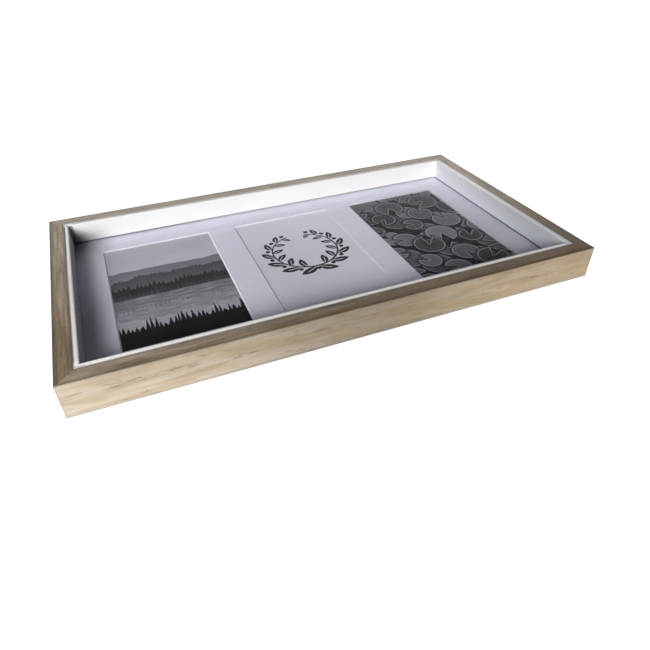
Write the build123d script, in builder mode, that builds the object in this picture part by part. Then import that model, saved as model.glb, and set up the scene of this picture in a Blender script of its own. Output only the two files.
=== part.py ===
# Collage photo frame: mitred oak-finish mouldings with a deep white liner, a glazed pack
# of three prints behind a windowed mat, and a backing board held by turn buttons.
# X runs along the long side, Y towards the tops of the pictures, Z out of the front.
# The origin is the middle of the back plane, on which the frame lies. Sizes are in mm.
import os
from math import radians, tan

from build123d import *

# Windows in the mat, and the mat that shows round them
window_names = ("left", "centre", "right")
window_width = 95.0
window_height = 149.0
window_gap = 24.0
side_margin = 22.8
top_margin = 24.2
bottom_margin = 25.9
bevel_angle = 45.0

# Oak-finish moulding
rail_face = 11.9
back_lip = 3.0
edge_round = 0.3

# White liner, standing a little proud of the wood, with deep inner walls down to the glass
liner_thickness = 3.8
liner_proud = 0.5
liner_outer_round = 0.2
liner_inner_round = 1.2
wall_depth = 18.2

# Pack, from the glass back to the recess behind the backing board
glass_thickness = 2.0
glass_arris = 0.3
mat_thickness = 1.0
print_width = 102.0
print_height = 152.0
print_thickness = 0.3
tape_width = 19.0
tape_reach = 13.0
tape_thickness = 0.1
tape_spacing = 50.0
tape_slack = 0.1
board_thickness = 2.8
back_recess = 2.6
pack_clearance = 0.6

# V-nails across the mitres, stacked one behind the other
v_nail_sheet = 0.6
v_nail_leg = 4.0
v_nail_height = 7.0
v_nail_stack = 2
v_nail_gap = 0.2
v_nail_inset = 7.2
v_nail_spread = 60.0

# Turn buttons and their screws
button_width = 7.6
button_tip_width = 6.0
button_reach = 14.0
button_sheet = 1.0
button_inset = 85.0
rib_length = 6.0
rib_width = 2.2
rib_height = 0.3
lip_clearance = 0.35
running_gap = 0.1
pivot_clearance = 0.08
screw_diameter = 2.6
screw_grip = 9.0
screw_head_diameter = 5.0
screw_head_height = 1.2
screw_head_round = 0.7
pilot_clearance = 0.03
cross_length = 2.8
cross_width = 0.7
cross_depth = 0.6

# Hangers: a triangle ring that swings in a folded strap, riveted to the backing board
hanger_spacing = 180.0
hanger_drop = 45.0
ring_wire = 1.5
ring_base = 20.0
ring_rise = 16.0
ring_bend = 2.5
strap_sheet = 0.45
strap_width = 9.0
strap_tail = 14.0
strap_round = 2.5
loop_clearance = 0.05
rivet_diameter = 3.0
rivet_head_diameter = 4.8
rivet_head_height = 0.6
rivet_head_round = 0.4
rivet_flare_diameter = 4.6
rivet_flare_angle = 90.0
rivet_drop = 8.0
rivet_clearance = 0.03

# Clear opening inside the liner, and the frame built out from it
window_count = len(window_names)
sight_width = window_count * window_width + (window_count - 1) * window_gap + 2 * side_margin
sight_height = top_margin + window_height + bottom_margin
frame_width = sight_width + 2 * (rail_face + liner_thickness)
frame_height = sight_height + 2 * (rail_face + liner_thickness)
pack_width = frame_width - 2 * (rail_face + pack_clearance)
pack_height = frame_height - 2 * (rail_face + pack_clearance)

# Levels, from the back plane up to the wood face
board_front = back_recess + board_thickness
print_back = board_front + tape_thickness
mat_back = print_back + print_thickness
glass_back = mat_back + mat_thickness
glass_front = glass_back + glass_thickness
wood_face = glass_front + wall_depth
liner_face = wood_face + liner_proud

# Middles of the windows
window_pitch = window_width + window_gap
window_middle_y = (bottom_margin - top_margin) / 2
window_middles_x = [(i - (window_count - 1) / 2) * window_pitch for i in range(window_count)]

# One plane for each side of the frame: x along the moulding, y inwards, z out of the front
side_planes = {
    "bottom": Plane((0, -frame_height / 2, 0), x_dir=(1, 0, 0), z_dir=(0, 0, 1)),
    "right": Plane((frame_width / 2, 0, 0), x_dir=(0, 1, 0), z_dir=(0, 0, 1)),
    "top": Plane((0, frame_height / 2, 0), x_dir=(-1, 0, 0), z_dir=(0, 0, 1)),
    "left": Plane((-frame_width / 2, 0, 0), x_dir=(0, -1, 0), z_dir=(0, 0, 1)),
}
side_lengths = {"bottom": frame_width, "right": frame_height, "top": frame_width, "left": frame_height}
rail_names = {"bottom": "rail_bottom", "right": "stile_right", "top": "rail_top", "left": "stile_left"}

# Turn buttons: the side that carries each one, and its place along that side
button_along = frame_width / 2 - button_inset
button_pivot = back_lip + lip_clearance + button_width / 2
button_places = {
    "turn_button_top_left": ("top", button_along),
    "turn_button_top_right": ("top", -button_along),
    "turn_button_bottom_left": ("bottom", -button_along),
    "turn_button_bottom_right": ("bottom", button_along),
    "turn_button_left": ("left", 0),
    "turn_button_right": ("right", 0),
}

# Hangers: the height of their pivots, and the plane on the backing board behind each
loop_bore = ring_wire / 2 + loop_clearance
loop_radius = loop_bore + strap_sheet
strap_fold = 2 * strap_sheet
hanger_y = frame_height / 2 - hanger_drop
hanger_seats = {
    "left": Plane((-hanger_spacing / 2, hanger_y, back_recess), x_dir=(-1, 0, 0), z_dir=(0, 0, -1)),
    "right": Plane((hanger_spacing / 2, hanger_y, back_recess), x_dir=(-1, 0, 0), z_dir=(0, 0, -1)),
}


def section_plane(side):
    # Square to the moulding: x inwards, y out of the front
    plane = side_planes[side]
    return Plane(plane.origin, x_dir=plane.y_dir, z_dir=plane.x_dir)


def cut_mitres(side):
    # Trims the length in hand at 45 degrees through the frame's outer corners
    plane = side_planes[side]
    for end in (1, -1):
        corner = plane.from_local_coords((end * side_lengths[side] / 2, 0, 0))
        split(bisect_by=Plane(corner, z_dir=plane.x_dir * end + plane.y_dir), keep=Keep.BOTTOM)


def button_seat(side, along):
    # On the ledge behind the moulding: y inwards, z out of the back
    plane = side_planes[side]
    pivot = plane.from_local_coords((along, button_pivot, back_recess))
    return Plane(pivot, x_dir=-plane.x_dir, z_dir=(0, 0, -1))


def axial_plane(seat):
    # Holds the seat's axis: x across it, y along it out of the back
    return Plane(seat.origin, x_dir=seat.x_dir, z_dir=-seat.y_dir)


os.makedirs("parts", exist_ok=True)

# V-nails: bent steel driven from the ledge, with the point of the V towards the opening
with BuildPart() as v_nails:
    for side, plane in side_planes.items():
        for level in range(v_nail_stack):
            with BuildSketch(plane.offset(back_recess + level * (v_nail_height + v_nail_gap))):
                with BuildLine():
                    point = Vector(side_lengths[side] / 2 - v_nail_inset, v_nail_inset)
                    leg = Vector(1, -1).normalized() * v_nail_leg
                    first_end = point + leg.rotate(Axis.Z, v_nail_spread)
                    last_end = point + leg.rotate(Axis.Z, -v_nail_spread)
                    Polyline(first_end, point, last_end)
                trace(line_width=v_nail_sheet)
            extrude(amount=v_nail_height)
v_nails.part.label = "corner_v_nails"
export_step(v_nails.part, "parts/corner_v_nails.step")

# Mouldings: a lip reaches the back plane, and behind the rest a ledge carries the fittings
for side in side_planes:
    with BuildPart() as rail:
        with BuildSketch(section_plane(side)) as profile:
            with BuildLine():
                Polyline(
                    (0, 0),
                    (back_lip, 0),
                    (back_lip, back_recess),
                    (rail_face, back_recess),
                    (rail_face, wood_face),
                    (0, wood_face),
                    close=True,
                )
            make_face()
            fillet(profile.vertices().group_by(Axis.Y)[-1], edge_round)
            fillet(profile.vertices().group_by(Axis.Y)[0], edge_round)
        extrude(amount=side_lengths[side] / 2, both=True)
        cut_mitres(side)
        for carrier, along in button_places.values():
            if carrier == side:
                with Locations(button_seat(side, along)):
                    Hole(radius=screw_diameter / 2 + pilot_clearance, depth=screw_grip)
        add(v_nails.part, mode=Mode.SUBTRACT)
    rail.part.label = rail_names[side]
    export_step(rail.part, f"parts/{rail.part.label}.step")

# Liner strips, glued to the inner faces of the mouldings
for side in side_planes:
    with BuildPart() as liner:
        with BuildSketch(section_plane(side)) as profile:
            with Locations((rail_face, glass_front)):
                Rectangle(liner_thickness, liner_face - glass_front, align=(Align.MIN, Align.MIN))
            fillet(profile.vertices().group_by(Axis.Y)[-1].sort_by(Axis.X)[0], liner_outer_round)
            fillet(profile.vertices().group_by(Axis.Y)[-1].sort_by(Axis.X)[-1], liner_inner_round)
        extrude(amount=side_lengths[side] / 2, both=True)
        cut_mitres(side)
    liner.part.label = f"liner_{side}"
    export_step(liner.part, f"parts/{liner.part.label}.step")

# Glass pane with seamed edges, held up against the foot of the liner
with BuildPart() as glass:
    with BuildSketch(Plane.XY.offset(glass_back)):
        Rectangle(pack_width, pack_height)
    extrude(amount=glass_thickness)
    chamfer(glass.edges(), glass_arris)
glass.part.label = "glass_pane"
export_step(glass.part, "parts/glass_pane.step")

# Mat board: each window is cut with a bevel that narrows towards the print
with BuildPart() as mat:
    with BuildSketch(Plane.XY.offset(mat_back)):
        Rectangle(pack_width, pack_height)
    extrude(amount=mat_thickness)
    with BuildSketch(Plane.XY.offset(glass_back)):
        with Locations([(x, window_middle_y) for x in window_middles_x]):
            Rectangle(window_width, window_height)
    extrude(amount=-mat_thickness, taper=bevel_angle, mode=Mode.SUBTRACT)
mat.part.label = "mat_board"
export_step(mat.part, "parts/mat_board.step")

# Prints, each behind its own window
for name, middle_x in zip(window_names, window_middles_x):
    with BuildPart() as photo_print:
        with BuildSketch(Plane.XY.offset(print_back)):
            with Locations((middle_x, window_middle_y)):
                Rectangle(print_width, print_height)
        extrude(amount=print_thickness)
    photo_print.part.label = f"photo_print_{name}"
    export_step(photo_print.part, f"parts/{photo_print.part.label}.step")

# Tape tabs: half on the top of a print, half on the back of the mat, stepped between them
with BuildPart() as tape:
    print_top = window_middle_y + print_height / 2
    step = print_top + tape_slack
    for middle_x in window_middles_x:
        for across in (-tape_spacing / 2, tape_spacing / 2):
            with BuildSketch(Plane.YZ.offset(middle_x + across)):
                with BuildLine():
                    Polyline(
                        (print_top - tape_reach, board_front),
                        (step + tape_thickness, board_front),
                        (step + tape_thickness, mat_back - tape_thickness),
                        (print_top + tape_reach, mat_back - tape_thickness),
                        (print_top + tape_reach, mat_back),
                        (step, mat_back),
                        (step, print_back),
                        (print_top - tape_reach, print_back),
                        close=True,
                    )
                make_face()
            extrude(amount=tape_width / 2, both=True)
tape.part.label = "print_tape_tabs"
export_step(tape.part, "parts/print_tape_tabs.step")

# Backing board, with a flared hole for each hanger's rivet
with BuildPart() as board:
    with BuildSketch(Plane.XY.offset(back_recess)):
        Rectangle(pack_width, pack_height)
    extrude(amount=board_thickness)
    for seat in hanger_seats.values():
        with Locations((seat.origin.X, seat.origin.Y - rivet_drop, board_front)):
            CounterSinkHole(
                radius=rivet_diameter / 2 + rivet_clearance,
                counter_sink_radius=rivet_flare_diameter / 2 + rivet_clearance,
                depth=board_thickness,
                counter_sink_angle=rivet_flare_angle,
            )
board.part.label = "backing_board"
export_step(board.part, "parts/backing_board.step")

# Turn buttons: pressed steel tongues that turn on their screws over the backing board
for name, (side, along) in button_places.items():
    seat = button_seat(side, along)
    with BuildPart() as button:
        with BuildSketch(seat.offset(running_gap)):
            Circle(button_width / 2)
            with Locations((0, button_reach - button_tip_width / 2)):
                Circle(button_tip_width / 2)
            make_hull()
            Circle(screw_diameter / 2 + pivot_clearance, mode=Mode.SUBTRACT)
        extrude(amount=button_sheet)
        with BuildSketch(seat.offset(running_gap + button_sheet)):
            with Locations((0, button_reach - button_tip_width / 2 - rib_length / 2 + rib_width / 2)):
                SlotOverall(rib_length, rib_width, rotation=90)
        extrude(amount=rib_height)
    button.part.label = name
    export_step(button.part, f"parts/{name}.step")

# Screws: pan heads with a cross recess, over plain shanks that run to a point in the wood
screw_seat = running_gap + button_sheet + running_gap
with BuildPart() as screws:
    for side, along in button_places.values():
        seat = button_seat(side, along)
        with BuildSketch(axial_plane(seat)) as profile:
            with BuildLine():
                Polyline(
                    (0, -screw_grip),
                    (screw_diameter / 2, screw_diameter - screw_grip),
                    (screw_diameter / 2, screw_seat),
                    (screw_head_diameter / 2, screw_seat),
                    (screw_head_diameter / 2, screw_seat + screw_head_height),
                    (0, screw_seat + screw_head_height),
                    close=True,
                )
            make_face()
            fillet(profile.vertices().group_by(Axis.Y)[-1].sort_by(Axis.X)[-1], screw_head_round)
        revolve(axis=Axis(seat.origin, seat.z_dir))
        with BuildSketch(seat.offset(screw_seat + screw_head_height)):
            Rectangle(cross_length, cross_width)
            Rectangle(cross_width, cross_length)
        extrude(amount=-cross_depth, mode=Mode.SUBTRACT)
screws.part.label = "turn_button_screws"
export_step(screws.part, "parts/turn_button_screws.step")

# Hanger straps: sheet folded round the ring's wire, its two ends lying together on the board
for name, seat in hanger_seats.items():
    with BuildPart() as strap:
        with BuildSketch(Plane(seat.origin, x_dir=seat.y_dir, z_dir=seat.x_dir)):
            with Locations((0, loop_radius)):
                Circle(loop_radius)
            Rectangle(strap_tail, strap_fold, align=(Align.MAX, Align.MIN))
            with Locations((0, loop_radius)):
                Circle(loop_bore, mode=Mode.SUBTRACT)
        extrude(amount=strap_width / 2, both=True)
        fillet(strap.edges().filter_by(Axis.Z).group_by(Axis.Y)[0], strap_round)
        with Locations(seat.offset(strap_fold)):
            with Locations((0, -rivet_drop)):
                Hole(radius=rivet_diameter / 2 + rivet_clearance, depth=strap_fold)
    strap.part.label = f"hanger_strap_{name}"
    export_step(strap.part, f"parts/{strap.part.label}.step")

# Hanger rings: one bent wire each, its base in the strap's fold and its point upwards
for name, seat in hanger_seats.items():
    with BuildPart() as ring:
        with BuildLine(seat.offset(loop_radius)) as wire:
            FilletPolyline(
                (-ring_base / 2, 0),
                (ring_base / 2, 0),
                (0, ring_rise),
                radius=ring_bend,
                close=True,
            )
        with BuildSketch(Plane(wire.line @ 0, z_dir=wire.line % 0)):
            Circle(ring_wire / 2)
        sweep()
    ring.part.label = f"hanger_ring_{name}"
    export_step(ring.part, f"parts/{ring.part.label}.step")
    print(ring.part.label, "wire", round(wire.wire().length, 2), "volume", round(ring.part.volume, 2))

# Rivets: a low head on the strap, and a flare sunk flush into the front of the board
flare_depth = (rivet_flare_diameter - rivet_diameter) / 2 / tan(radians(rivet_flare_angle / 2))
with BuildPart() as rivets:
    for seat in hanger_seats.values():
        foot = Plane(seat.from_local_coords((0, -rivet_drop, 0)), x_dir=seat.x_dir, z_dir=seat.z_dir)
        with BuildSketch(axial_plane(foot)) as profile:
            with BuildLine():
                Polyline(
                    (0, -board_thickness),
                    (rivet_flare_diameter / 2, -board_thickness),
                    (rivet_diameter / 2, flare_depth - board_thickness),
                    (rivet_diameter / 2, strap_fold),
                    (rivet_head_diameter / 2, strap_fold),
                    (rivet_head_diameter / 2, strap_fold + rivet_head_height),
                    (0, strap_fold + rivet_head_height),
                    close=True,
                )
            make_face()
            fillet(profile.vertices().group_by(Axis.Y)[-1].sort_by(Axis.X)[-1], rivet_head_round)
        revolve(axis=Axis(foot.origin, foot.z_dir))
rivets.part.label = "hanger_rivets"
export_step(rivets.part, "parts/hanger_rivets.step")

print("frame", frame_width, frame_height, wood_face, "glass front", glass_front)
for name, (side, along) in button_places.items():
    print(name, "turns about", button_seat(side, along).origin)
for name, seat in hanger_seats.items():
    print("hanger ring", name, "swings about", seat.from_local_coords((0, 0, loop_radius)))
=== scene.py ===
import math

import bpy
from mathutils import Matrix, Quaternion, Vector


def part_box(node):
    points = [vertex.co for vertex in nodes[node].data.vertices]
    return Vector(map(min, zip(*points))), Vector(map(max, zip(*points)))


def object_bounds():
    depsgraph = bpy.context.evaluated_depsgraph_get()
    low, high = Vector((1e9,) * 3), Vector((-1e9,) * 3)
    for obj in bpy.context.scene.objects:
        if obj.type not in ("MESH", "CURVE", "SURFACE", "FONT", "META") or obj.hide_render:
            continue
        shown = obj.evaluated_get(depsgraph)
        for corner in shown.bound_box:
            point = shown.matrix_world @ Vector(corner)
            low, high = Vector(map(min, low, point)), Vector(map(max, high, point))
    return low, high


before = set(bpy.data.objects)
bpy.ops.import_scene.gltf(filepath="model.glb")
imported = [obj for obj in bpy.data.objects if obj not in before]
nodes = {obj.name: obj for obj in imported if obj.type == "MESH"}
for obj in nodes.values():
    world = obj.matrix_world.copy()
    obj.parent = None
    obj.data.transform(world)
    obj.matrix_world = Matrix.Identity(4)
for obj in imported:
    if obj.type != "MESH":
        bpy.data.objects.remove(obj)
cadBox = [list(corner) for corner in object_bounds()]
halfLength, halfWidth = cadBox[1][:2]
mm = 0.001
print("frame loaded:", len(nodes), "pieces")


class Wire:
    # one shader value: sums on it add Math nodes, node() adds any other node
    def __init__(self, tree, socket=None):
        self.tree = tree
        self.socket = socket

    def node(self, kind, settings=None, values=None, out=0):
        made = self.tree.nodes.new("ShaderNode" + kind)
        for name, value in (settings or {}).items():
            setattr(made, name, value)
        for name, value in (values or {}).items():
            if isinstance(value, Wire):
                self.tree.links.new(value.socket, made.inputs[name])
            else:
                made.inputs[name].default_value = value
        return Wire(self.tree, made.outputs[out] if len(made.outputs) else None)

    def maths(self, operation, *terms):
        return self.node("Math", {"operation": operation}, dict(enumerate(terms)))

    def __add__(self, other):
        return self.maths("ADD", self, other)

    def __radd__(self, other):
        return self.maths("ADD", other, self)

    def __sub__(self, other):
        return self.maths("SUBTRACT", self, other)

    def __rsub__(self, other):
        return self.maths("SUBTRACT", other, self)

    def __mul__(self, other):
        return self.maths("MULTIPLY", self, other)

    def __rmul__(self, other):
        return self.maths("MULTIPLY", other, self)

    def __truediv__(self, other):
        return self.maths("DIVIDE", self, other)

    def __mod__(self, other):
        return self.maths("FLOORED_MODULO", self, other)

    def __lt__(self, other):
        return self.maths("LESS_THAN", self, other)

    def __gt__(self, other):
        return self.maths("GREATER_THAN", self, other)

    def __abs__(self):
        return self.maths("ABSOLUTE", self)

    def low(self, other):
        return self.maths("MINIMUM", self, other)

    def high(self, other):
        return self.maths("MAXIMUM", self, other)

    def fade(self, start, end):  # smooth 0 to 1 from start to end, either way round
        return self.node("MapRange", {"interpolation_type": "SMOOTHSTEP"},
                         {"Value": self, "From Min": start, "From Max": end})

    def split(self):
        parts = self.node("SeparateXYZ", values={"Vector": self}).socket.node
        return [Wire(self.tree, socket) for socket in parts.outputs]

    def point(self, x, y, z=0.0):
        return self.node("CombineXYZ", values={"X": x, "Y": y, "Z": z})

    def noise(self, at, scale=1.0, detail=2.0, rough=0.5, warp=0.0):
        return self.node("TexNoise", values={"Vector": at, "Scale": scale, "Detail": detail,
                                             "Roughness": rough, "Distortion": warp})

    def blend(self, share, under, over):  # colours, over on top of under
        ends = {0: share, 6: under, 7: over}
        return self.node("Mix", {"data_type": "RGBA"}, ends, out=2)

    def shade(self, colour, share):  # a colour made darker or paler
        return self.node("VectorMath", {"operation": "SCALE"}, {0: colour, "Scale": share})

    def bump(self, height, strength, depth):
        return self.node("Bump", values={"Height": height, "Strength": strength, "Distance": depth})


def rgb(red, green, blue):
    return (red, green, blue, 1.0)


def startFinish(name):
    material = bpy.data.materials.new(name)
    material.use_nodes = True
    material.node_tree.nodes.clear()
    wire = Wire(material.node_tree)
    return material, wire, wire.node("TexCoord", out="Object")


def closeFinish(material, wire, shader):
    wire.node("OutputMaterial", values={"Surface": shader})
    return material


def dress(material, *names):
    for name in names:
        for slot in nodes[name].material_slots:
            slot.material = material


# Oak foil wrapped round the moulding, its grain running along each rail. A pair of numbers says where a
# mask starts and where it is full: by height, in from the outer edge, along the rail, or in a noise
oak = {
    "face": rgb(0.186, 0.145, 0.096), "side": rgb(0.260, 0.222, 0.171), "raw": (0.420, 0.320, 0.210),
    "warmFace": rgb(0.200, 0.140, 0.084), "warmSide": rgb(0.258, 0.192, 0.109),
    "silver": rgb(0.215, 0.178, 0.135), "brown": rgb(0.195, 0.116, 0.056), "dustAndShadow": (0.252, 0.228, 0.193),
    "knock": rgb(0.050, 0.036, 0.024), "fleck": rgb(0.098, 0.070, 0.044),
    "faceLevels": (26.70 * mm, 26.95 * mm), "edgeLevel": 27.0 * mm, "seedStep": 41.0,
    # length along the grain and width across it of each noise, in millimetres
    "figure": (46, 8), "streak": (36, 1.9), "fine": (8, 0.6), "dash": (5, 0.5), "cluster": (34, 7),
    "mark": (10, 1.6), "glint": (4, 0.7), "dent": (3.3, 2.4),
    "figureDepth": 0.7, "streakDepth": 2.0, "fineDepth": 0.9, "sideClear": 0.24,
    "poreMask": (0.60, 0.72), "pore": 0.24, "sidePores": 0.3, "rayMask": (0.63, 0.73), "ray": 0.12,
    # dark flecks, and a dark line in millimetres up the girth that wanders along the rail
    "fleckMasks": ((0.56, 0.70), (0.49, 0.63)), "fleckShare": 0.75,
    "heartMasks": ((0.47, 0.62), (0.40, 0.56)), "heartMiddle": 9, "heartSwing": 12, "heartLength": 60,
    "heartWidth": (0.3, 2.4), "heartEnd": (-0.02, 0.10), "heartLess": 0.55,
    # painted shade on the outer edge and at the joint with the liner, and paler or darker levels of the
    # side
    "turned": (3.8 * mm, 1.2 * mm), "turnedRun": (-0.10, 0.02), "turnedLeast": 0.60,
    "joint": (9.7 * mm, 11.1 * mm), "arrisLevels": (25.7 * mm, 26.5 * mm), "arris": (1.2 * mm, 0.3 * mm),
    "arrisShade": 0.36, "upperSide": (21 * mm, 26.5 * mm), "upperDark": 0.08,
    "lowLightLevels": (9 * mm, 4 * mm), "lowLightReach": (0.0, -0.5), "lowLightPale": 0.14,
    "bandLow": (3 * mm, 7 * mm), "bandHigh": (14 * mm, 9 * mm), "bandPale": 0.09,
    # where the tones change, as a share of the way from the rail's middle to its end
    "lowReach": (0.0, -0.75), "highReach": (0.0, 0.65), "footShadowReach": (0.1, 0.5),
    "silverReach": (-0.6, 0.2), "silverIn": (2 * mm, 10 * mm), "brownReach": (-0.55, -0.1),
    "brownIn": (6 * mm, 1.5 * mm), "warmMask": (0.66, 0.38), "warmShare": 0.6,
    "footShadowLevels": (2.8 * mm, 1.0 * mm), "dustAndShadowShare": 0.85, "footShadowMiddle": 0.80, "footShadowEnds": 0.22,
    "edgeWidth": (0.3 * mm, 1.0 * mm), "dentMask": (0.60, 0.70), "mitre": (0.08 * mm, 0.32 * mm),
    "knockShare": 0.6, "backMask": (-0.5, -0.8),
    "rough": 0.32, "streakRough": 0.14, "poreRough": 0.1, "bareRough": 0.3,
    "streakRise": 0.5, "fineRise": 0.3, "poreSink": 0.6, "relief": 0.25, "reliefDepth": 0.1 * mm,
    # each rail's way and outer side; how pale its face and its side are at the low end, in the middle and
    # at the high end, painted light and shade with some of the wood's own tone; how silvery it is at both
    # ends and along the outer edge; how warm in the middle and how much more at the high end; how much
    # painted shade darkens its outer edge and its joint with the liner
    "rails": {
        "rail_bottom": {
            "axis": "x", "outer": "low", "facePaintedLight": (1.32, 0.79, 0.69), "sidePaintedLight": (1.05, 0.59, 0.91),
            "silver": (1.0, 0.25, 0.0), "warm": (0.22, 0.45), "edgeShade": 0.32, "jointShade": 0.12,
        },
        "rail_top": {
            "axis": "x", "outer": "high", "facePaintedLight": (1.67, 1.69, 1.68), "sidePaintedLight": (1.00, 0.88, 1.04),
            "silver": (1.0, 1.0, 1.0), "warm": (0.22, 0.45), "edgeShade": 0.32, "jointShade": 0.05,
        },
        "stile_left": {
            "axis": "y", "outer": "low", "facePaintedLight": (0.99, 1.50, 1.76), "sidePaintedLight": (1.04, 0.96, 0.90),
            "silver": (0.0, 0.0, 1.0), "warm": (0.15, -0.60), "edgeShade": 0.58, "jointShade": 0.34,
        },
        "stile_right": {
            "axis": "y", "outer": "high", "facePaintedLight": (0.72, 1.32, 1.72), "sidePaintedLight": (0.98, 0.90, 1.02),
            "silver": (0.15, 1.0, 1.0), "warm": (0.22, 0.45), "edgeShade": 0.20, "jointShade": 0.16,
        },
    },
}


# tone along a rail, from its low end through its middle to its high end: painted light and shade, with some
# of the wood's own tone
def alongRail(reach, tones):
    lowEnd, middle, highEnd = tones
    towardsLow = reach.fade(*oak["lowReach"]) * (lowEnd - middle)
    return middle + towardsLow + reach.fade(*oak["highReach"]) * (highEnd - middle)


def oakFoil(name, look, seed):
    material, wire, place = startFinish("oak_foil_" + name)
    low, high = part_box(name)
    x, y, z = place.split()
    run, across, end, side = (x, y, high[0], 1) if look["axis"] == "x" else (y, x, high[1], 0)
    inward = across - low[side] if look["outer"] == "low" else high[side] - across
    face = z.fade(*oak["faceLevels"])

    # in millimetres, along the grain and round the moulding, up the side and over the face
    along, girth = run / mm, (z + inward) / mm

    def grainNoise(kind, step, **settings):
        length, width = oak[kind]
        return wire.noise(wire.point(along / length, girth / width, seed + step), **settings)

    figure = grainNoise("figure", 0, detail=2, warp=0.5)
    streak = grainNoise("streak", 3, detail=3, rough=0.6, warp=0.2)
    fine = grainNoise("fine", 7, detail=2, rough=0.6)
    dash = grainNoise("dash", 11, detail=1)
    cluster = grainNoise("cluster", 13, detail=1)
    mark = grainNoise("mark", 17, detail=2, warp=0.4)
    glint = grainNoise("glint", 19, detail=1)
    dent = grainNoise("dent", 23, detail=2)
    sway = wire.noise(wire.point(along / oak["heartLength"], seed + 29), detail=2)

    markMask, clusterMask = oak["heartMasks"]
    heart = 1 - abs(girth - oak["heartMiddle"] - sway * oak["heartSwing"]).fade(*oak["heartWidth"])
    heart = heart * mark.fade(*markMask) * cluster.fade(*clusterMask)
    heart = heart * (1 - run.fade(*oak["heartEnd"]) * oak["heartLess"])
    markMask, clusterMask = oak["fleckMasks"]
    fleck = (mark.fade(*markMask) * cluster.fade(*clusterMask)).high(heart)
    pore = dash.fade(*oak["poreMask"]) * (oak["sidePores"] + face * (1 - oak["sidePores"]))
    ray = glint.fade(*oak["rayMask"])

    clear = oak["sideClear"] + face * (1 - oak["sideClear"])  # the grain is plainer on the side
    grain = (streak - 0.5) * oak["streakDepth"] + (fine - 0.5) * oak["fineDepth"]
    grain = 1 + (figure - 0.5) * oak["figureDepth"] + grain * clear
    grain = grain * (1 - pore * oak["pore"]) * (1 + ray * oak["ray"])
    reach = run / end
    # painted light and shade along the rail, with some of the wood's own tone
    sidePaintedLight = alongRail(reach, look["sidePaintedLight"])
    pale = sidePaintedLight + (alongRail(reach, look["facePaintedLight"]) - sidePaintedLight) * face

    # painted shade: darker along the outer edge where the foil turns over it, over the arris and in the
    # groove at the joint with the liner, and a little darker near the top of the side
    turnedMore = run.fade(*oak["turnedRun"]) * (1 - oak["turnedLeast"])
    turned = inward.fade(*oak["turned"]) * (oak["turnedLeast"] + turnedMore)
    joint = inward.fade(*oak["joint"])
    paintedShadeAndLight = 1 - (turned * look["edgeShade"]).high(joint * look["jointShade"]) * face
    arris = z.fade(*oak["arrisLevels"]) * inward.fade(*oak["arris"])
    upper = z.fade(*oak["upperSide"]) * (1 - face)
    paintedShadeAndLight = paintedShadeAndLight * (1 - arris * oak["arrisShade"]) * (1 - upper * oak["upperDark"])

    # paler low on one end, painted light on the lower side there, and in a faint band all along the side
    lowLight = z.fade(*oak["lowLightLevels"]) * reach.fade(*oak["lowLightReach"])
    band = z.fade(*oak["bandLow"]) * z.fade(*oak["bandHigh"])
    paintedShadeAndLight = paintedShadeAndLight + (lowLight * oak["lowLightPale"] + band * oak["bandPale"]) * (1 - face)

    warmMiddle, warmRise = look["warm"]
    warm = figure.fade(*oak["warmMask"]) * oak["warmShare"] + warmMiddle + reach * warmRise
    warm = warm.high(0.0).low(1.0)
    silverLow, silverHigh, silverEdge = look["silver"]
    silver = silverLow + reach.fade(*oak["silverReach"]) * (silverHigh - silverLow)
    silver = silver * (silverEdge + inward.fade(*oak["silverIn"]) * (1 - silverEdge))
    brown = inward.fade(*oak["brownIn"]) * reach.fade(*oak["brownReach"]) * (1 - silverEdge)
    faceColour = wire.blend(silver, wire.blend(warm, oak["face"], oak["warmFace"]), oak["silver"])
    faceColour = wire.blend(brown, faceColour, oak["brown"])
    colour = wire.blend(face, wire.blend(warm, oak["side"], oak["warmSide"]), faceColour)
    colour = wire.shade(colour, pale * grain * paintedShadeAndLight)
    footShadowPale = oak["footShadowMiddle"] + abs(reach).fade(*oak["footShadowReach"]) * oak["footShadowEnds"]
    dustAndShadow = wire.shade(oak["dustAndShadow"], sidePaintedLight * footShadowPale)
    colour = wire.blend(z.fade(*oak["footShadowLevels"]) * oak["dustAndShadowShare"], colour, dustAndShadow)  # painted contact shadow, greyer at the foot
    colour = wire.blend(fleck * oak["fleckShare"], colour, oak["fleck"])

    # small knocks along the outer edge and the closed mitre
    edge = 1 - abs(z + inward - oak["edgeLevel"]).fade(*oak["edgeWidth"])
    mitre = 1 - abs(abs(x) - (halfLength - halfWidth) - abs(y)).fade(*oak["mitre"])
    knock = (edge * dent.fade(*oak["dentMask"])).high(mitre)
    colour = wire.blend(knock * oak["knockShare"], colour, oak["knock"])

    # the back is bare wood
    bare = wire.node("TexCoord", out="Normal").split()[2].fade(*oak["backMask"])
    colour = wire.blend(bare, colour, wire.shade(oak["raw"], grain))

    rough = oak["rough"] + streak * oak["streakRough"] + pore * oak["poreRough"] + bare * oak["bareRough"]
    rise = streak * oak["streakRise"] + fine * oak["fineRise"] - pore * oak["poreSink"]
    shader = wire.node("BsdfPrincipled", values={
        "Base Color": colour, "Roughness": rough,
        "Normal": wire.bump(rise, oak["relief"], oak["reliefDepth"]),
    })
    return closeFinish(material, wire, shader)


for count, (name, look) in enumerate(oak["rails"].items()):
    dress(oakFoil(name, look, count * oak["seedStep"]), name)
print("oak rails finished")
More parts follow.
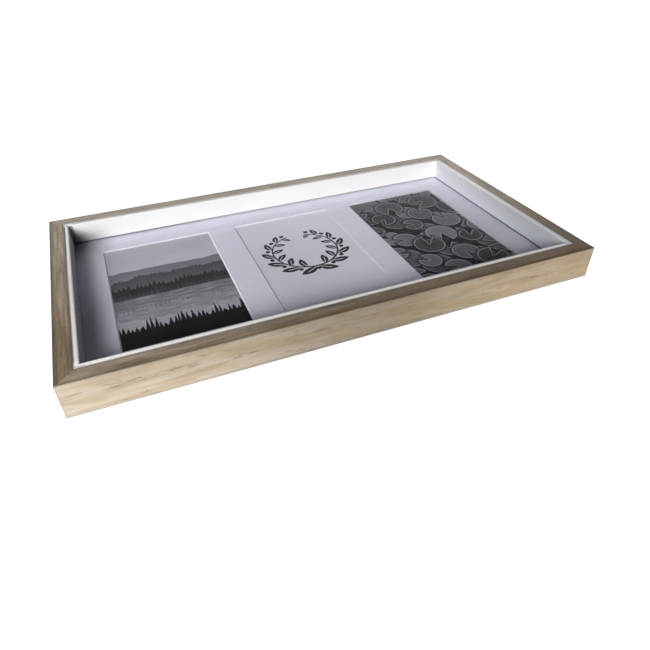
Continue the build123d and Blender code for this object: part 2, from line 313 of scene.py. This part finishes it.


# White satin paint on the inner liner strips, with painted light and shade on their tops and walls
liner = {
    "names": ("liner_bottom", "liner_right", "liner_top", "liner_left"),
    "paint": rgb(0.61, 0.61, 0.615), "shade": rgb(0.575, 0.575, 0.575), "scuff": rgb(0.60, 0.57, 0.54),
    "top": (0.78, 0.77, 0.765), "raw": rgb(0.110, 0.094, 0.076), "foot": rgb(0.040, 0.042, 0.050),
    "leftWallShade": rgb(0.250, 0.255, 0.270), "rightWallShade": rgb(0.330, 0.350, 0.380),
    "rightCoolLightHigh": rgb(1.05, 1.06, 1.09), "rightCoolLightLow": rgb(1.12, 1.155, 1.25),  # painted cool light, bluer lower down
    "sideStrip": 186 * mm, "endStrip": 97 * mm,  # how far from the middle the strips lie, each way
    "cloudScale": 24, "cloudMask": (0.35, 0.75), "cloudShare": 0.5, "peelScale": 900,
    "rubScale": 420, "rubMask": (0.56, 0.70), "rubShare": 0.35, "rubLevels": (26.8 * mm, 27.5 * mm),
    # the top, painted paler than the walls as painted light: how much more painted light or shade each
    # strip's top gets, and where along it
    "topLevels": (26.6 * mm, 27.3 * mm), "frontLight": 0.18, "frontLightReach": (0.02, -0.17),
    "frontShade": 0.10, "frontShadeReach": (0.0, 0.15), "farLight": 0.24, "farReach": (0.0, 0.08),
    "backShade": 0.28,
    # the walls: painted shade greys the side strips, painted light brightens the back one, and painted
    # shade darkens its far left corner
    "leftLevels": (27.1 * mm, 26.3 * mm), "leftShare": 0.85, "rightReach": (0.06, -0.07),
    "rightShare": 0.62, "backLight": 0.06,
    "lowLevels": (25 * mm, 12 * mm), "cornerReach": (-0.150, -0.186), "cornerShade": 0.60,
    # unpainted where it was glued to the wood, and wider along the left strip as painted shade cast by the
    # wood's edge, measured in from the frame's outer edge
    "bareFrom": 11.98 * mm, "bareFarShade": 0.7 * mm, "bareTo": 12.15 * mm, "bareLeftShade": 1.2 * mm,
    "bareFrontLess": 0.25, "bareBackLess": 0.7,
    # painted shadow in the gap along the lower edge over the glass
    "footShadowLow": 9.45 * mm, "footShadowHigh": 9.85 * mm, "footShadowRight": 0.55 * mm, "footShadowRightReach": (0.07, -0.07),
    "footShadowBackLess": 0.3, "footShadowBackReach": (-0.16, 0.0),
    "rough": 0.42, "cloudRough": 0.12, "peelRelief": 0.12, "peelDepth": 0.05 * mm,
}


def linerPaint():
    material, wire, place = startFinish("liner_paint")
    x, y, z = place.split()
    cloud = wire.noise(place, scale=liner["cloudScale"], detail=3)
    peel = wire.noise(place, scale=liner["peelScale"], detail=2)
    rub = wire.noise(place, scale=liner["rubScale"], detail=3).fade(*liner["rubMask"])
    left, right = x < -liner["sideStrip"], x > liner["sideStrip"]
    front, back = y < -liner["endStrip"], y > liner["endStrip"]
    farEnd = left * y.fade(*liner["farReach"])
    low = z.fade(*liner["lowLevels"])
    cloudShare = cloud.fade(*liner["cloudMask"]) * liner["cloudShare"]
    colour = wire.blend(cloudShare, liner["paint"], liner["shade"])

    # painted light and shade on the tops: paler at the front left and at the far end of the left strip,
    # duller at the front right and along the back
    frontLight = x.fade(*liner["frontLightReach"]) * liner["frontLight"]
    frontLight = frontLight - x.fade(*liner["frontShadeReach"]) * liner["frontShade"]
    topLight = 1 + front * frontLight + farEnd * liner["farLight"] - back * liner["backShade"]
    colour = wire.blend(z.fade(*liner["topLevels"]), colour, wire.shade(liner["top"], topLight))

    # painted shade greys the side strips: the left one below its top, the right one towards the front
    leftShade = left * z.fade(*liner["leftLevels"])
    rightShade = right * y.fade(*liner["rightReach"])
    colour = wire.blend(leftShade * liner["leftShare"], colour, liner["leftWallShade"])
    colour = wire.blend(rightShade * liner["rightShare"], colour, liner["rightWallShade"])
    # painted cool light on the right strip, bluer lower down
    tint = wire.blend(low, liner["rightCoolLightHigh"], liner["rightCoolLightLow"])
    coolLit = wire.node("VectorMath", {"operation": "MULTIPLY"}, {0: colour, 1: tint})
    colour = wire.blend(right, colour, coolLit)
    corner = back * x.fade(*liner["cornerReach"]) * low  # painted shade in the far left corner
    colour = wire.shade(colour, 1 + back * liner["backLight"] - corner * liner["cornerShade"])
    colour = wire.blend(z.fade(*liner["rubLevels"]) * rub * liner["rubShare"], colour, liner["scuff"])

    inward = (halfLength - abs(x)).low(halfWidth - abs(y))
    # painted shade from the wood's edge widens the band along the left strip and its far end
    bareFrom = liner["bareFrom"] + farEnd * liner["bareFarShade"]
    bare = inward.fade(liner["bareTo"] + left * liner["bareLeftShade"], bareFrom)
    bare = bare * (1 - front * liner["bareFrontLess"] - back * liner["bareBackLess"])
    colour = wire.blend(bare, colour, liner["raw"])
    # painted shadow along the foot of the walls, taller towards the front of the right strip
    footShadowHigh = liner["footShadowHigh"] + right * y.fade(*liner["footShadowRightReach"]) * liner["footShadowRight"]
    footShadowShare = 1 - back * x.fade(*liner["footShadowBackReach"]) * liner["footShadowBackLess"]
    colour = wire.blend(z.fade(footShadowHigh, liner["footShadowLow"]) * footShadowShare, colour, liner["foot"])
    shader = wire.node("BsdfPrincipled", values={
        "Base Color": colour,
        "Roughness": liner["rough"] + cloud * liner["cloudRough"],
        "Normal": wire.bump(peel, liner["peelRelief"], liner["peelDepth"]),
    })
    return closeFinish(material, wire, shader)


dress(linerPaint(), *liner["names"])
print("liner painted")


# Clear picture glass: it bends the view and mirrors a little, and lets the lamps' light straight through
glass = {
    "tint": rgb(0.978, 0.983, 0.980), "mirror": rgb(0.97, 0.98, 1.0), "mirrorShare": 0.46, "index": 1.5,
    "smearScale": 14, "smearMask": (0.45, 0.75), "rough": 0.10, "smearRough": 0.06,
    "dustScale": 1700, "dustMask": (0.74, 0.80), "dustAndShadowShare": 0.012,
}


def clearGlass():
    material, wire, place = startFinish("clear_glass_pane")
    smear = wire.noise(place, scale=glass["smearScale"], detail=4, warp=1.2).fade(*glass["smearMask"])
    dustAndShadow = wire.noise(place, scale=glass["dustScale"], detail=1).fade(*glass["dustMask"])
    behind = wire.node("NewGeometry", out="Backfacing")
    mirror = wire.node("Fresnel", values={"IOR": glass["index"]}) * glass["mirrorShare"] * (1 - behind)
    bent = wire.node("BsdfRefraction", values={
        "Color": glass["tint"], "Roughness": 0.0, "IOR": glass["index"],
    })
    gloss = wire.node("BsdfGlossy", values={
        "Color": glass["mirror"], "Roughness": glass["rough"] + smear * glass["smearRough"],
    })
    face = wire.node("MixShader", values={0: mirror + dustAndShadow * glass["dustAndShadowShare"], 1: bent, 2: gloss})
    lit = wire.node("LightPath", out="Is Shadow Ray").high(wire.node("LightPath", out="Is Diffuse Ray"))
    clear = wire.node("BsdfTransparent", values={"Color": glass["tint"]})
    return closeFinish(material, wire, wire.node("MixShader", values={0: lit, 1: face, 2: clear}))


dress(clearGlass(), "glass_pane")
print("glass finished")


# Mat card with a faint paper tooth, its cut bevels showing a plainer core, with painted light and shade
mat = {
    "card": rgb(0.700, 0.702, 0.828), "cardShade": rgb(0.660, 0.660, 0.786),
    "core": (0.550, 0.555, 0.608), "fibre": rgb(0.640, 0.620, 0.720),
    "cloudScale": 18, "cloudMask": (0.3, 0.7), "toothScale": 2600,
    "fibreScale": 900, "fibreMask": (0.66, 0.74), "fibreShare": 0.25,
    "backLightReach": (-0.02, 0.05), "pale": 0.12,  # painted light, paler towards the back
    # painted shade at the near right, the near left and the far left: across, along and how much
    "shadedCorners": [
        ((0.10, 0.18), (0.12, -0.03), 0.34),
        ((-0.160, -0.180), (0.03, -0.05), 0.36),
        ((-0.150, -0.188), (0.055, 0.095), 0.66),
    ],
    # bevels: painted light makes the left window's right hand one the whitest, painted shade dulls those
    # further right
    "bevelLean": (0.92, 0.80), "litBevelLean": (-0.3, -0.6), "litBevelReach": (0.0, -0.06), "litBevel": 0.34,
    "bevelShadeReach": (0.05, 0.14), "dull": 0.40,
    "rough": 0.82, "toothRough": 0.14, "toothRelief": 0.25, "toothDepth": 0.06 * mm,
}


def matCard():
    material, wire, place = startFinish("mat_card_face")
    x, y = place.split()[:2]
    cloud = wire.noise(place, scale=mat["cloudScale"], detail=3)
    tooth = wire.noise(place, scale=mat["toothScale"], detail=3, rough=0.65)
    fibre = wire.noise(place, scale=mat["fibreScale"], detail=2, warp=2.0).fade(*mat["fibreMask"])
    colour = wire.blend(cloud.fade(*mat["cloudMask"]), mat["card"], mat["cardShade"])
    colour = wire.blend(fibre * mat["fibreShare"], colour, mat["fibre"])
    unshaded = 1
    for across, along, share in mat["shadedCorners"]:
        unshaded = unshaded - x.fade(*across) * y.fade(*along) * share
    colour = wire.shade(colour, (1 + y.fade(*mat["backLightReach"]) * mat["pale"]) * unshaded)
    normal = wire.node("TexCoord", out="Normal").split()
    # painted light on the left window's right hand bevel, painted shade on bevels further right
    litBevel = normal[0].fade(*mat["litBevelLean"]) * x.fade(*mat["litBevelReach"])
    core = wire.shade(mat["core"], 1 + litBevel * mat["litBevel"] - x.fade(*mat["bevelShadeReach"]) * mat["dull"])
    colour = wire.blend(abs(normal[2]).fade(*mat["bevelLean"]), colour, core)
    shader = wire.node("BsdfPrincipled", values={
        "Base Color": colour,
        "Roughness": mat["rough"] + tooth * mat["toothRough"],
        "Normal": wire.bump(tooth, mat["toothRelief"], mat["toothDepth"]),
    })
    return closeFinish(material, wire, shader)


dress(matCard(), "mat_board")
print("mat finished")


# Prints: each picture is drawn on its own sheet, measured in millimetres from the window's middle
prints = {
    "middle": {"left": (-119.0, 0.85), "centre": (0.0, 0.85), "right": (119.0, 0.85)},
    "faceLevels": (5.74 * mm, 5.76 * mm), "backPaper": rgb(0.78, 0.78, 0.76),
    "rough": 0.62, "grainRough": 0.14, "shine": 0.25, "grainRelief": 0.08, "grainDepth": 0.03 * mm,
}


def closePrint(material, wire, place, picture, grain):
    z = place.split()[2]
    shader = wire.node("BsdfPrincipled", values={
        "Base Color": wire.blend(z.fade(*prints["faceLevels"]), prints["backPaper"], picture),
        "Roughness": prints["rough"] + grain * prints["grainRough"],
        "Specular IOR Level": prints["shine"],
        "Normal": wire.bump(grain, prints["grainRelief"], prints["grainDepth"]),
    })
    return closeFinish(material, wire, shader)


def startPrint(window):
    material, wire, place = startFinish("print_" + window)
    x, y = place.split()[:2]
    middleX, middleY = prints["middle"][window]
    return material, wire, place, x / mm - middleX, y / mm - middleY


# Left: wooded hills beyond a still lake
lake = {
    "skyTop": rgb(0.49, 0.49, 0.56), "skyLow": rgb(0.60, 0.60, 0.685), "skyHeights": (78, 20),
    "skyShare": 0.6, "cloudSize": (40, 14), "cloudSeed": 4.0, "cloudMask": (0.35, 0.75), "cloudShare": 0.4,
    # middle height, swing, wave length, tree height (mm) and tone of each ridge, far to near
    "ridges": [(33, 9, 60, 0.0, 0.200), (20, 9, 38, 2.5, 0.085), (4, 7, 30, 7.0, 0.026)],
    "bank": (-53, 5, 36, 13.0, 0.005), "bankSeed": 5, "ridgeBlue": 1.2, "bankBlue": 1.1,
    "crestSoft": (-0.2, 0.4), "swing": 2.6, "waveStep": 7.3,
    "treePitch": 3.4, "treeSway": 1.6, "swayLength": 7, "swayStep": 3.1,
    "tallLength": 5, "tallMask": (0.30, 0.70), "tallLeast": 0.25, "tallStep": 5.7,
    "mistSize": (26, 8), "mistStep": 2.7, "mistShare": 0.7,
    "hazeDepth": (3, 24), "hazeLeast": 0.2, "hazePale": 0.09, "hazeBlue": (1.1, 0.108),
    # the water, and the hills that dip into it
    "shore": -10.0, "shoreSoft": 0.3, "water": rgb(0.515, 0.515, 0.590), "glint": rgb(0.680, 0.680, 0.770),
    "rippleSize": (16, 0.9), "rippleSeed": 9.0, "shineMask": (0.46, 0.66), "glintShare": 0.7,
    "deep": rgb(0.055, 0.055, 0.068), "dipSway": 9, "dipSoft": (-1.5, 1.5), "dipShare": 0.38,
    "dipBreak": 0.45, "grainScale": 3.4,
}


def ridgeLine(wire, x, ridge, count):
    height, swing, length, tree = ridge[:4]
    wave = wire.noise(wire.point(x / length, count * lake["waveStep"]), detail=3, rough=0.45)
    sway = wire.noise(wire.point(x / lake["swayLength"], count * lake["swayStep"]), detail=1)
    spire = abs((x / lake["treePitch"] + sway * lake["treeSway"]) % 1.0 - 0.5) * 2
    tall = wire.noise(wire.point(x / lake["tallLength"], count * lake["tallStep"]), detail=1)
    tall = lake["tallLeast"] + tall.fade(*lake["tallMask"])
    return height + (wave - 0.5) * (swing * lake["swing"]) + spire * tall * tree


def lakePrint():
    material, wire, place, x, y = startPrint("left")

    def patch(kind, seed, **settings):
        width, height = lake[kind]
        return wire.noise(wire.point(x / width, y / height, seed), **settings)

    cloud = patch("cloudSize", lake["cloudSeed"], detail=4, rough=0.55).fade(*lake["cloudMask"])
    sky = y.fade(*lake["skyHeights"]) * lake["skyShare"] + cloud * lake["cloudShare"]
    picture = wire.blend(sky, lake["skyTop"], lake["skyLow"])
    ripple = patch("rippleSize", lake["rippleSeed"], detail=3)
    shine = ripple.fade(*lake["shineMask"])
    water = wire.blend(shine * lake["glintShare"], lake["water"], lake["glint"])
    mirrored = 2 * lake["shore"] - y
    for count, ridge in enumerate(lake["ridges"]):
        tone = ridge[4]
        crest = ridgeLine(wire, x, ridge, count)
        depth = crest - y
        mist = patch("mistSize", count * lake["mistStep"], detail=3)
        haze = depth.fade(*lake["hazeDepth"]) * (lake["hazeLeast"] + mist * lake["mistShare"])
        hazePale = tone + lake["hazePale"]
        hazeBlue = tone * lake["hazeBlue"][0] + lake["hazeBlue"][1]
        slope = rgb(tone, tone, tone * lake["ridgeBlue"])
        slope = wire.blend(haze, slope, rgb(hazePale, hazePale, hazeBlue))
        picture = wire.blend(depth.fade(*lake["crestSoft"]), picture, slope)
        dip = (crest - mirrored + (ripple - 0.5) * lake["dipSway"]).fade(*lake["dipSoft"])
        dip = dip * (1 - shine * lake["dipBreak"])
        water = wire.blend(dip * lake["dipShare"], water, lake["deep"])
    above = y.fade(lake["shore"] - lake["shoreSoft"], lake["shore"] + lake["shoreSoft"])
    picture = wire.blend(above, water, picture)
    tone = lake["bank"][4]
    depth = ridgeLine(wire, x, lake["bank"], lake["bankSeed"]) - y
    picture = wire.blend(depth.fade(*lake["crestSoft"]), picture, rgb(tone, tone, tone * lake["bankBlue"]))
    grain = wire.noise(wire.point(x, y), scale=lake["grainScale"], detail=2)
    return closePrint(material, wire, place, picture, grain)


# Centre: a leafy wreath in black on white card, sizes in millimetres
wreath = {
    "card": (0.640, 0.640, 0.735), "cardUp": (-10, 60), "cardUpLight": 0.16, "cardAcross": (-30, 40),
    "cardAcrossLight": 0.08, "ink": rgb(0.012, 0.012, 0.018), "inkLeast": 0.96, "grainScale": 2.2,
    "radius": 29.0, "middleHeight": 8.0, "opening": 2.86, "openingSoft": 0.02, "taper": 0.13,
    "pitch": 13.4, "leafLength": 8.9, "leafWidth": 3.8, "leafSlope": math.radians(48), "leafSoft": 0.3,
    "leafReach": 6.6, "veinWidth": (0.24, 0.50), "veinEnd": (0.15, 0.45),
    "stem": 0.9, "stemSoft": 0.12, "berry": 2.0, "berryReach": 4.0, "berrySoft": (-0.1, 0.2),
}


def wreathPrint():
    material, wire, place, x, y = startPrint("centre")
    up = y - wreath["middleHeight"]
    radius = wire.maths("SQRT", x * x + up * up)
    turn = wire.maths("ARCTAN2", abs(x), 0 - up)  # nought at the foot, growing up both arms
    out = radius - wreath["radius"]
    inner = out < 0
    pitch, slope = wreath["pitch"], wreath["leafSlope"]
    arc = turn * wreath["radius"]
    along = (arc + inner * (pitch / 2)) % pitch - pitch / 2
    taper = 1 - turn * wreath["taper"]
    reach = abs(out) - wreath["leafReach"] * taper
    tip = along * math.cos(slope) + reach * math.sin(slope)
    wide = reach * math.cos(slope) - along * math.sin(slope)
    share = tip / (taper * wreath["leafLength"])
    leaf = taper * wreath["leafWidth"] * (1 - share * share) - abs(wide)
    leaf = leaf.fade(0, wreath["leafSoft"]) * (1 - inner * (arc < pitch / 2))  # none inside at the foot
    vein = 1 - abs(wide).fade(*wreath["veinWidth"]).high(share.fade(*wreath["veinEnd"]))
    arm = turn.fade(wreath["opening"], wreath["opening"] - wreath["openingSoft"])
    stem = (wreath["stem"] * taper - abs(out)).fade(-wreath["stemSoft"], wreath["stemSoft"])
    gap = pitch / 2 - abs(along)
    drop = out - wreath["berryReach"]
    berry = (wreath["berry"] - wire.maths("SQRT", gap * gap + drop * drop)).fade(*wreath["berrySoft"])
    ink = (leaf * (1 - vein)).high(stem).high(berry) * arm
    grain = wire.noise(wire.point(x, y), scale=wreath["grainScale"], detail=3)
    # painted light: the card paler towards its top and towards the right
    cardLight = 1 + y.fade(*wreath["cardUp"]) * wreath["cardUpLight"]
    cardLight = cardLight + x.fade(*wreath["cardAcross"]) * wreath["cardAcrossLight"]
    inkShare = ink * (wreath["inkLeast"] + grain * (1 - wreath["inkLeast"]))
    picture = wire.blend(inkShare, wire.shade(wreath["card"], cardLight), wreath["ink"])
    return closePrint(material, wire, place, picture, grain)


# Right: round leaves afloat on dark water, sizes in millimetres
pads = {
    "water": rgb(0.006, 0.006, 0.009), "sheen": rgb(0.036, 0.036, 0.045),
    "dark": rgb(0.009, 0.009, 0.012), "light": rgb(0.205, 0.205, 0.244), "rib": rgb(0.560, 0.560, 0.650),
    "swellSize": (14, 2.6), "swellSeed": 3.0, "swellMask": (0.45, 0.70),
    "pitch": 40.0, "radius": 15.5, "smallest": 0.62, "jitter": 7.0, "notch": 0.36, "padSoft": 0.35,
    "ribs": 9, "ribWidth": (0.70, 0.20), "ribEnd": (0.97, 0.7), "ribShare": 0.06,
    "rimWidth": (1.5, 0.6), "rimShare": 0.42, "evenShare": 0.80, "rimPale": 0.20,
    "shadow": 3.6, "shadowDark": 0.85, "seedStep": 5.3,
    "grainScale": 0.9, "grainLeast": 0.72, "grainShare": 0.56,
    # where each layer's rows start, back to front
    "layers": [(0, 0), (20, 22), (9, 31), (30, 10)],
}


def padLayer(wire, x, y, start, seed, under):
    pitch, jitter, ribStep = pads["pitch"], pads["jitter"], math.tau / pads["ribs"]
    column = wire.maths("FLOOR", (x + start[0]) / pitch)
    row = wire.maths("FLOOR", (y + start[1]) / pitch)
    chance = wire.node("TexWhiteNoise", values={"Vector": wire.point(column, row, seed)}, out="Color")
    turnBy, shift, paleness = chance.split()
    fromX = x + start[0] - (column + 0.5) * pitch + (shift - 0.5) * jitter
    fromY = y + start[1] - (row + 0.5) * pitch + (paleness - 0.5) * jitter
    away = wire.maths("SQRT", fromX * fromX + fromY * fromY)
    cosine, sine = wire.maths("COSINE", turnBy * math.tau), wire.maths("SINE", turnBy * math.tau)
    angle = wire.maths("ARCTAN2", fromY * cosine - fromX * sine, fromX * cosine + fromY * sine)
    size = pads["radius"] * (pads["smallest"] + shift * (1 - pads["smallest"]))
    spare = (size - away).low((abs(angle) - pads["notch"]) * away)  # how far inside the leaf's edge
    ribGap = abs((angle / math.tau * pads["ribs"]) % 1.0 - 0.5) * away * ribStep
    ribStart, ribFull = pads["ribEnd"]
    rib = ribGap.fade(*pads["ribWidth"]) * away.fade(size * ribStart, size * ribFull)
    rim = spare.fade(*pads["rimWidth"])
    pale = paleness * pads["evenShare"] + away / size * pads["rimPale"]
    pad = wire.blend(pale, pads["dark"], pads["light"])
    pad = wire.blend((rib * pads["ribShare"]).high(rim * pads["rimShare"]), pad, pads["rib"])
    shadow = wire.blend(spare.fade(-pads["shadow"], 0.0) * pads["shadowDark"], under, pads["water"])
    return wire.blend(spare.fade(0.0, pads["padSoft"]), shadow, pad)


def padsPrint():
    material, wire, place, x, y = startPrint("right")
    grain = wire.noise(wire.point(x, y), scale=pads["grainScale"], detail=4, rough=0.6)
    swellLength, swellHeight = pads["swellSize"]
    swell = wire.noise(wire.point(x / swellLength, y / swellHeight, pads["swellSeed"]), detail=3)
    picture = wire.blend(swell.fade(*pads["swellMask"]), pads["water"], pads["sheen"])
    for count, start in enumerate(pads["layers"]):
        picture = padLayer(wire, x, y, start, count * pads["seedStep"], picture)
    picture = wire.shade(picture, pads["grainLeast"] + grain * pads["grainShare"])
    return closePrint(material, wire, place, picture, grain)


dress(lakePrint(), "photo_print_left")
dress(wreathPrint(), "photo_print_centre")
dress(padsPrint(), "photo_print_right")
print("prints drawn")


# Paper tape that hangs each print on the back of the mat
tape = {
    "paper": rgb(0.66, 0.58, 0.42), "crease": rgb(0.50, 0.42, 0.28), "creasePitch": (300, 1400),
    "creaseMask": (0.4, 0.7), "rough": 0.7, "creaseRough": 0.2, "relief": 0.3, "reliefDepth": 0.05 * mm,
}


def paperTape():
    material, wire, place = startFinish("hinge_tape")
    x, y = place.split()[:2]
    across, along = tape["creasePitch"]
    crease = wire.noise(wire.point(x * across, y * along), detail=3)
    shader = wire.node("BsdfPrincipled", values={
        "Base Color": wire.blend(crease.fade(*tape["creaseMask"]), tape["paper"], tape["crease"]),
        "Roughness": tape["rough"] + crease * tape["creaseRough"],
        "Normal": wire.bump(crease, tape["relief"], tape["reliefDepth"]),
    })
    return closeFinish(material, wire, shader)


dress(paperTape(), "print_tape_tabs")


# Brown fibreboard back with its pressed screen pattern
board = {
    "fibre": rgb(0.245, 0.140, 0.072), "dark": rgb(0.120, 0.064, 0.032), "chip": rgb(0.420, 0.270, 0.150),
    "cloudScale": 30, "cloudMask": (0.3, 0.7), "cloudShare": 0.45,
    "chipScale": 620, "chipMask": (0.60, 0.72), "chipShare": 0.6,
    "screenPitch": 1.6 * mm, "screenMask": (0.05, 0.35), "screenDark": 0.35,
    "rough": 0.62, "chipRough": 0.25,
    "screenRise": 0.7, "chipRise": 0.3, "relief": 0.5, "reliefDepth": 0.15 * mm,
}


def fibreBoard():
    material, wire, place = startFinish("fibreboard_back")
    x, y = place.split()[:2]
    cloud = wire.noise(place, scale=board["cloudScale"], detail=4)
    chip = wire.noise(place, scale=board["chipScale"], detail=3, warp=1.5)
    pitch = board["screenPitch"]
    warpWay = abs((x / pitch) % 1.0 - 0.5)
    weftWay = abs((y / pitch) % 1.0 - 0.5)
    screen = warpWay.low(weftWay).fade(*board["screenMask"])
    cloudShare = cloud.fade(*board["cloudMask"]) * board["cloudShare"]
    colour = wire.blend(cloudShare, board["fibre"], board["dark"])
    colour = wire.blend(chip.fade(*board["chipMask"]) * board["chipShare"], colour, board["chip"])
    colour = wire.blend((1 - screen) * board["screenDark"], colour, board["dark"])
    rise = screen * board["screenRise"] + chip * board["chipRise"]
    shader = wire.node("BsdfPrincipled", values={
        "Base Color": colour,
        "Roughness": board["rough"] + chip * board["chipRough"],
        "Normal": wire.bump(rise, board["relief"], board["reliefDepth"]),
    })
    return closeFinish(material, wire, shader)


dress(fibreBoard(), "backing_board")


# Zinc plated steel and soft aluminium, both a little handled
metal = {
    "zinc": {"bright": rgb(0.66, 0.67, 0.68), "dull": rgb(0.46, 0.47, 0.48), "rough": 0.30},
    "aluminium": {"bright": rgb(0.80, 0.80, 0.80), "dull": rgb(0.62, 0.62, 0.63), "rough": 0.24},
    "zincNames": ("turn_button", "hanger_strap", "hanger_ring", "corner"),
    "spangleScale": 700.0, "spangleShare": 0.35, "stainScale": 180, "stainShare": 0.65,
    "wearMask": (0.25, 0.75), "scratchTurn": (0.2, 0.3, 0.7), "scratchScale": (260, 5200, 900),
    "stainRough": 0.16, "scratchRough": 0.06, "relief": 0.1, "reliefDepth": 0.02 * mm,
}


def platedMetal(kind):
    look = metal[kind]
    material, wire, place = startFinish(kind + "_plate")
    spangle = wire.node("TexVoronoi", values={"Vector": place, "Scale": metal["spangleScale"]}, out="Color")
    stain = wire.noise(place, scale=metal["stainScale"], detail=4)
    brushed = wire.node("Mapping", values={
        "Vector": place, "Rotation": metal["scratchTurn"], "Scale": metal["scratchScale"],
    })
    scratch = wire.noise(brushed, detail=2)
    wear = spangle.split()[0] * metal["spangleShare"] + stain * metal["stainShare"]
    shader = wire.node("BsdfPrincipled", values={
        "Base Color": wire.blend(wear.fade(*metal["wearMask"]), look["bright"], look["dull"]),
        "Metallic": 1.0,
        "Roughness": look["rough"] + stain * metal["stainRough"] + scratch * metal["scratchRough"],
        "Normal": wire.bump(scratch, metal["relief"], metal["reliefDepth"]),
    })
    return closeFinish(material, wire, shader)


dress(platedMetal("zinc"), *[name for name in nodes if name.startswith(metal["zincNames"])])
dress(platedMetal("aluminium"), "hanger_rivets")
print("back, tape and fittings finished")


# Pale floor, carried on past the camera's view and a little brighter away from the frame
floor = {
    "size": 14.0, "colour": rgb(0.86, 0.86, 0.86), "mark": rgb(0.83, 0.83, 0.83), "markScale": 3,
    "nearGlow": rgb(0.52, 0.52, 0.53), "farGlow": rgb(1.0, 1.0, 1.0), "glowReach": (0.15, 0.8),
    "contact": 1.8 * mm, "contactDark": 0.32,  # the thin shadow where the frame meets the floor
    "rough": 0.9, "shine": 0.1,
}


def layFloor():
    bpy.ops.object.select_all(action="DESELECT")
    bpy.ops.mesh.primitive_plane_add(size=floor["size"], location=(0, 0, 0))
    sheet = bpy.context.object
    sheet.name = "floor"
    material, wire, place = startFinish("floor_paint")
    x, y = place.split()[:2]
    mottle = wire.noise(place, scale=floor["markScale"], detail=3)
    away = wire.node("VectorMath", {"operation": "LENGTH"}, {0: place}, out="Value")
    glow = wire.blend(away.fade(*floor["glowReach"]), floor["nearGlow"], floor["farGlow"])
    clear = (abs(x) - halfLength).high(abs(y) - halfWidth)
    lit = 1 - clear.fade(floor["contact"], 0.0) * floor["contactDark"]
    shader = wire.node("BsdfPrincipled", values={
        "Base Color": wire.shade(wire.blend(mottle, floor["colour"], floor["mark"]), lit),
        "Roughness": floor["rough"], "Specular IOR Level": floor["shine"],
        "Emission Color": wire.shade(glow, lit), "Emission Strength": 1.0,
    })
    sheet.data.materials.append(closeFinish(material, wire, shader))


layFloor()


# A broad soft key, low on the left front, a small lamp by the near corner, and a pale wall behind
light = {
    "from": (-0.90, -1.92, 1.0), "strength": 4.1, "softness": math.radians(27),
    "colour": (1.0, 0.985, 0.965),
    "lampPlace": (-0.30, -0.25, 0.10), "lampAim": (-0.19, -0.10, 0.02), "lampPower": 0.25, "lampSize": 0.10,
    "room": 0.10, "roomColour": rgb(0.97, 0.98, 1.0),
    "wall": 1.45, "wallTop": (0.50, 0.34), "wallSide": (0.45, 0.85), "backdrop": rgb(1.0, 1.0, 1.0),
}


def aimFrom(place, target):
    return (Vector(target) - Vector(place)).to_track_quat("-Z", "Y")


def lightRoom():
    key = bpy.data.lights.new("key", "SUN")
    key.energy = light["strength"]
    key.angle = light["softness"]
    lamp = bpy.data.lights.new("lamp", "AREA")
    lamp.energy = light["lampPower"]
    lamp.size = light["lampSize"]
    for made, place, aim in ((key, light["from"], (0, 0, 0)), (lamp, light["lampPlace"], light["lampAim"])):
        made.color = light["colour"]
        stand = bpy.data.objects.new(made.name, made)
        bpy.context.scene.collection.objects.link(stand)
        stand.location = place
        stand.rotation_mode = "QUATERNION"
        stand.rotation_quaternion = aimFrom(place, aim)

    world = bpy.data.worlds.new("room")
    bpy.context.scene.world = world
    world.use_nodes = True
    world.node_tree.nodes.clear()
    wire = Wire(world.node_tree)
    y, z = wire.node("TexCoord", out="Generated").split()[1:]
    wall = z.fade(*light["wallTop"]) * y.fade(*light["wallSide"])
    room = wire.node("Background", values={
        "Color": light["roomColour"], "Strength": light["room"] + wall * light["wall"],
    })
    backdrop = wire.node("Background", values={"Color": light["backdrop"], "Strength": 1.0})
    seen = wire.node("LightPath", out="Is Camera Ray")  # plain white where the view looks past the floor
    surface = wire.node("MixShader", values={0: seen, 1: room, 2: backdrop})
    wire.node("OutputWorld", values={"Surface": surface})


lightRoom()
bpy.context.scene.view_settings.view_transform = "Standard"


# Camera at the photograph's angle
view = {
    "place": (-0.1435, -0.3875, 0.2468), "aim": (-0.0358, -0.1235, 0.027), "roll": math.radians(-0.72),
    "lens": 29.86, "sensor": 36.0,
}


def setCamera():
    eye = bpy.data.objects.new("camera", bpy.data.cameras.new("camera"))
    bpy.context.scene.collection.objects.link(eye)
    eye.data.lens = view["lens"]
    eye.data.sensor_width = view["sensor"]
    eye.location = view["place"]
    eye.rotation_mode = "QUATERNION"
    eye.rotation_quaternion = aimFrom(view["place"], view["aim"]) @ Quaternion((0, 0, 1), view["roll"])
    bpy.context.scene.camera = eye


setCamera()
print("floor, lights and camera set")
